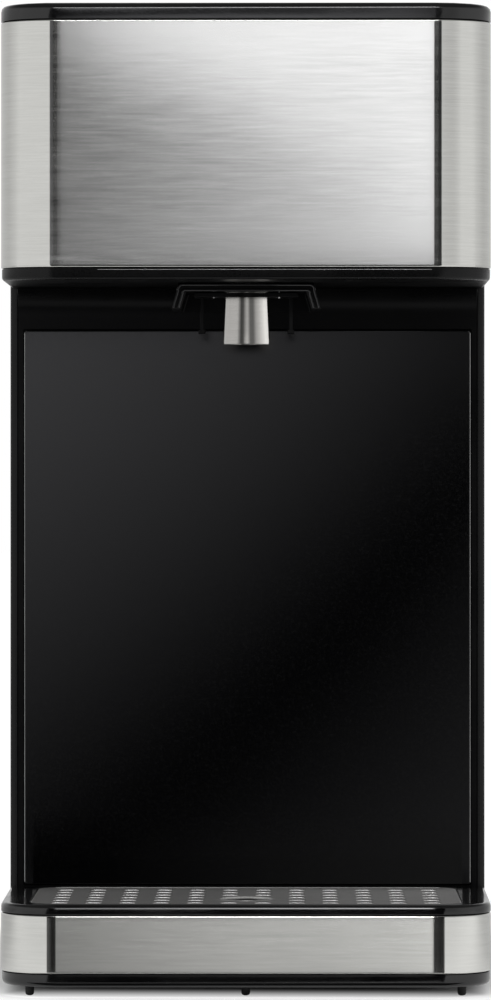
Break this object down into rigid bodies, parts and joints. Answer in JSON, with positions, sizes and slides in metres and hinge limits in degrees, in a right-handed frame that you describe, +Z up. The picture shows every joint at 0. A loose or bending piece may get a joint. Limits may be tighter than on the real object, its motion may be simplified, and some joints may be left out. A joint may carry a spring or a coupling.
{
  "type": "instant hot water dispenser",
  "caption": "Countertop instant hot water dispenser: steel-banded head and base, gloss column panel, drip tray, flow heater, pump and lift-off rear water tank with hinged lid.",
  "frame": {"origin": "centre of the bounding box in plan, on the surface that the feet stand on", "axes": "+Z up, the front with the spout and the drip tray faces -Y, +X to the right as seen from the front"},
  "size_m": [0.168, 0.3, 0.338],
  "materials": {
    "brushed_steel": "stainless steel with a fine horizontal grain",
    "bright_steel": "plain bright steel",
    "black_plastic": "moulded black plastic, satin",
    "black_gloss": "high gloss black",
    "display_gloss": "dark gloss display window",
    "smoke_plastic": "clear smoke-grey plastic",
    "white_plastic": "natural white engineering plastic",
    "green_board": "circuit board lacquer",
    "cast_aluminium": "cast, plain",
    "black_rubber": "soft black rubber",
    "pale_silicone": "translucent pale silicone"
  },
  "bodies": {
    "appliance": {"base_pan": "black_plastic", "base_housing": "black_plastic", "base_band": "brushed_steel", "foot_front_left": "black_rubber", "foot_front_centre": "black_rubber", "foot_front_right": "black_rubber", "foot_rear_left": "black_rubber", "foot_rear_right": "black_rubber", "base_screw_front_left": "bright_steel", "base_screw_front_right": "bright_steel", "base_screw_rear_left": "bright_steel", "base_screw_rear_right": "bright_steel", "front_frame": "black_plastic", "front_panel": "black_gloss", "left_side_cover": "black_plastic", "right_side_cover": "black_plastic", "tank_bay_wall": "black_plastic", "head_housing": "black_plastic", "head_cover": "brushed_steel", "spout_shroud": "black_plastic", "spout_carrier": "black_plastic", "spout_sleeve": "brushed_steel", "spout_nozzle": "black_rubber", "steam_separator": "white_plastic", "head_screw_left": "bright_steel", "head_screw_right": "bright_steel", "top_cover": "black_plastic", "control_panel": "black_gloss", "display_window": "display_gloss", "control_board": "green_board", "tank_dock": "black_plastic", "dock_socket": "black_plastic", "dock_seal": "black_rubber", "cord_gland": "black_rubber", "pump_motor": "cast_aluminium", "pump_head": "white_plastic", "pump_cradle": "black_rubber", "flow_meter_body": "white_plastic", "flow_meter_cap": "black_plastic", "heater_block": "cast_aluminium", "temperature_sensor": "bright_steel", "thermal_cutout": "black_plastic", "power_board": "green_board", "triac_heatsink": "cast_aluminium", "inlet_hose": "pale_silicone", "pump_hose": "pale_silicone", "heater_hose": "pale_silicone", "outlet_hose": "pale_silicone"},
    "tray": {"drip_tray": "black_plastic"},
    "grille": {"drip_grille": "brushed_steel"},
    "tank": {"water_tank": "smoke_plastic", "tank_filter": "white_plastic", "valve_spring": "bright_steel"},
    "lid": {"tank_lid": "black_plastic"},
    "valve": {"tank_valve": "white_plastic"},
    "temperature_key": {"temperature_button": "bright_steel"},
    "start_key": {"start_button": "bright_steel"},
    "amount_key": {"amount_button": "bright_steel"},
    "meter_wheel": {"flow_meter_wheel": "white_plastic"},
    "motor_shaft": {"pump_shaft": "bright_steel"}
  },
  "joints": [
    {"name": "tray_lift", "type": "slide", "parent": "appliance", "child": "tray", "axis": [0, 0, 1], "range_m": [0, 0.05]},
    {"name": "grille_lift", "type": "slide", "parent": "tray", "child": "grille", "axis": [0, 0, 1], "range_m": [0, 0.04]},
    {"name": "tank_lift", "type": "slide", "parent": "appliance", "child": "tank", "axis": [0, 0, 1], "range_m": [0, 0.3]},
    {"name": "lid_hinge", "type": "hinge", "parent": "tank", "child": "lid", "pos_m": [0, 0.0675, 0.33505], "axis": [1, 0, 0], "range_deg": [0, 100]},
    {"name": "valve_close", "type": "slide", "parent": "tank", "child": "valve", "axis": [0, 0, 1], "range_m": [-0.0025, 0], "deforming": ["valve_spring"]},
    {"name": "temperature_press", "type": "slide", "parent": "appliance", "child": "temperature_key", "axis": [0, 0, 1], "range_m": [-0.001, 0], "stiffness_N_per_m": 500, "springref_m": 0.0006},
    {"name": "start_press", "type": "slide", "parent": "appliance", "child": "start_key", "axis": [0, 0, 1], "range_m": [-0.001, 0], "stiffness_N_per_m": 500, "springref_m": 0.0006},
    {"name": "amount_press", "type": "slide", "parent": "appliance", "child": "amount_key", "axis": [0, 0, 1], "range_m": [-0.001, 0], "stiffness_N_per_m": 500, "springref_m": 0.0006},
    {"name": "meter_spin", "type": "hinge", "parent": "appliance", "child": "meter_wheel", "pos_m": [0, 0.038, 0.017], "axis": [0, 0, 1], "continuous": true},
    {"name": "pump_spin", "type": "hinge", "parent": "appliance", "child": "motor_shaft", "pos_m": [0.045, 0, 0.0316], "axis": [0, 1, 0], "continuous": true}
  ],
  "couplings": [
    {"joint": "valve_close", "follows": "tank_lift", "ratio": -0.008}
  ]
}
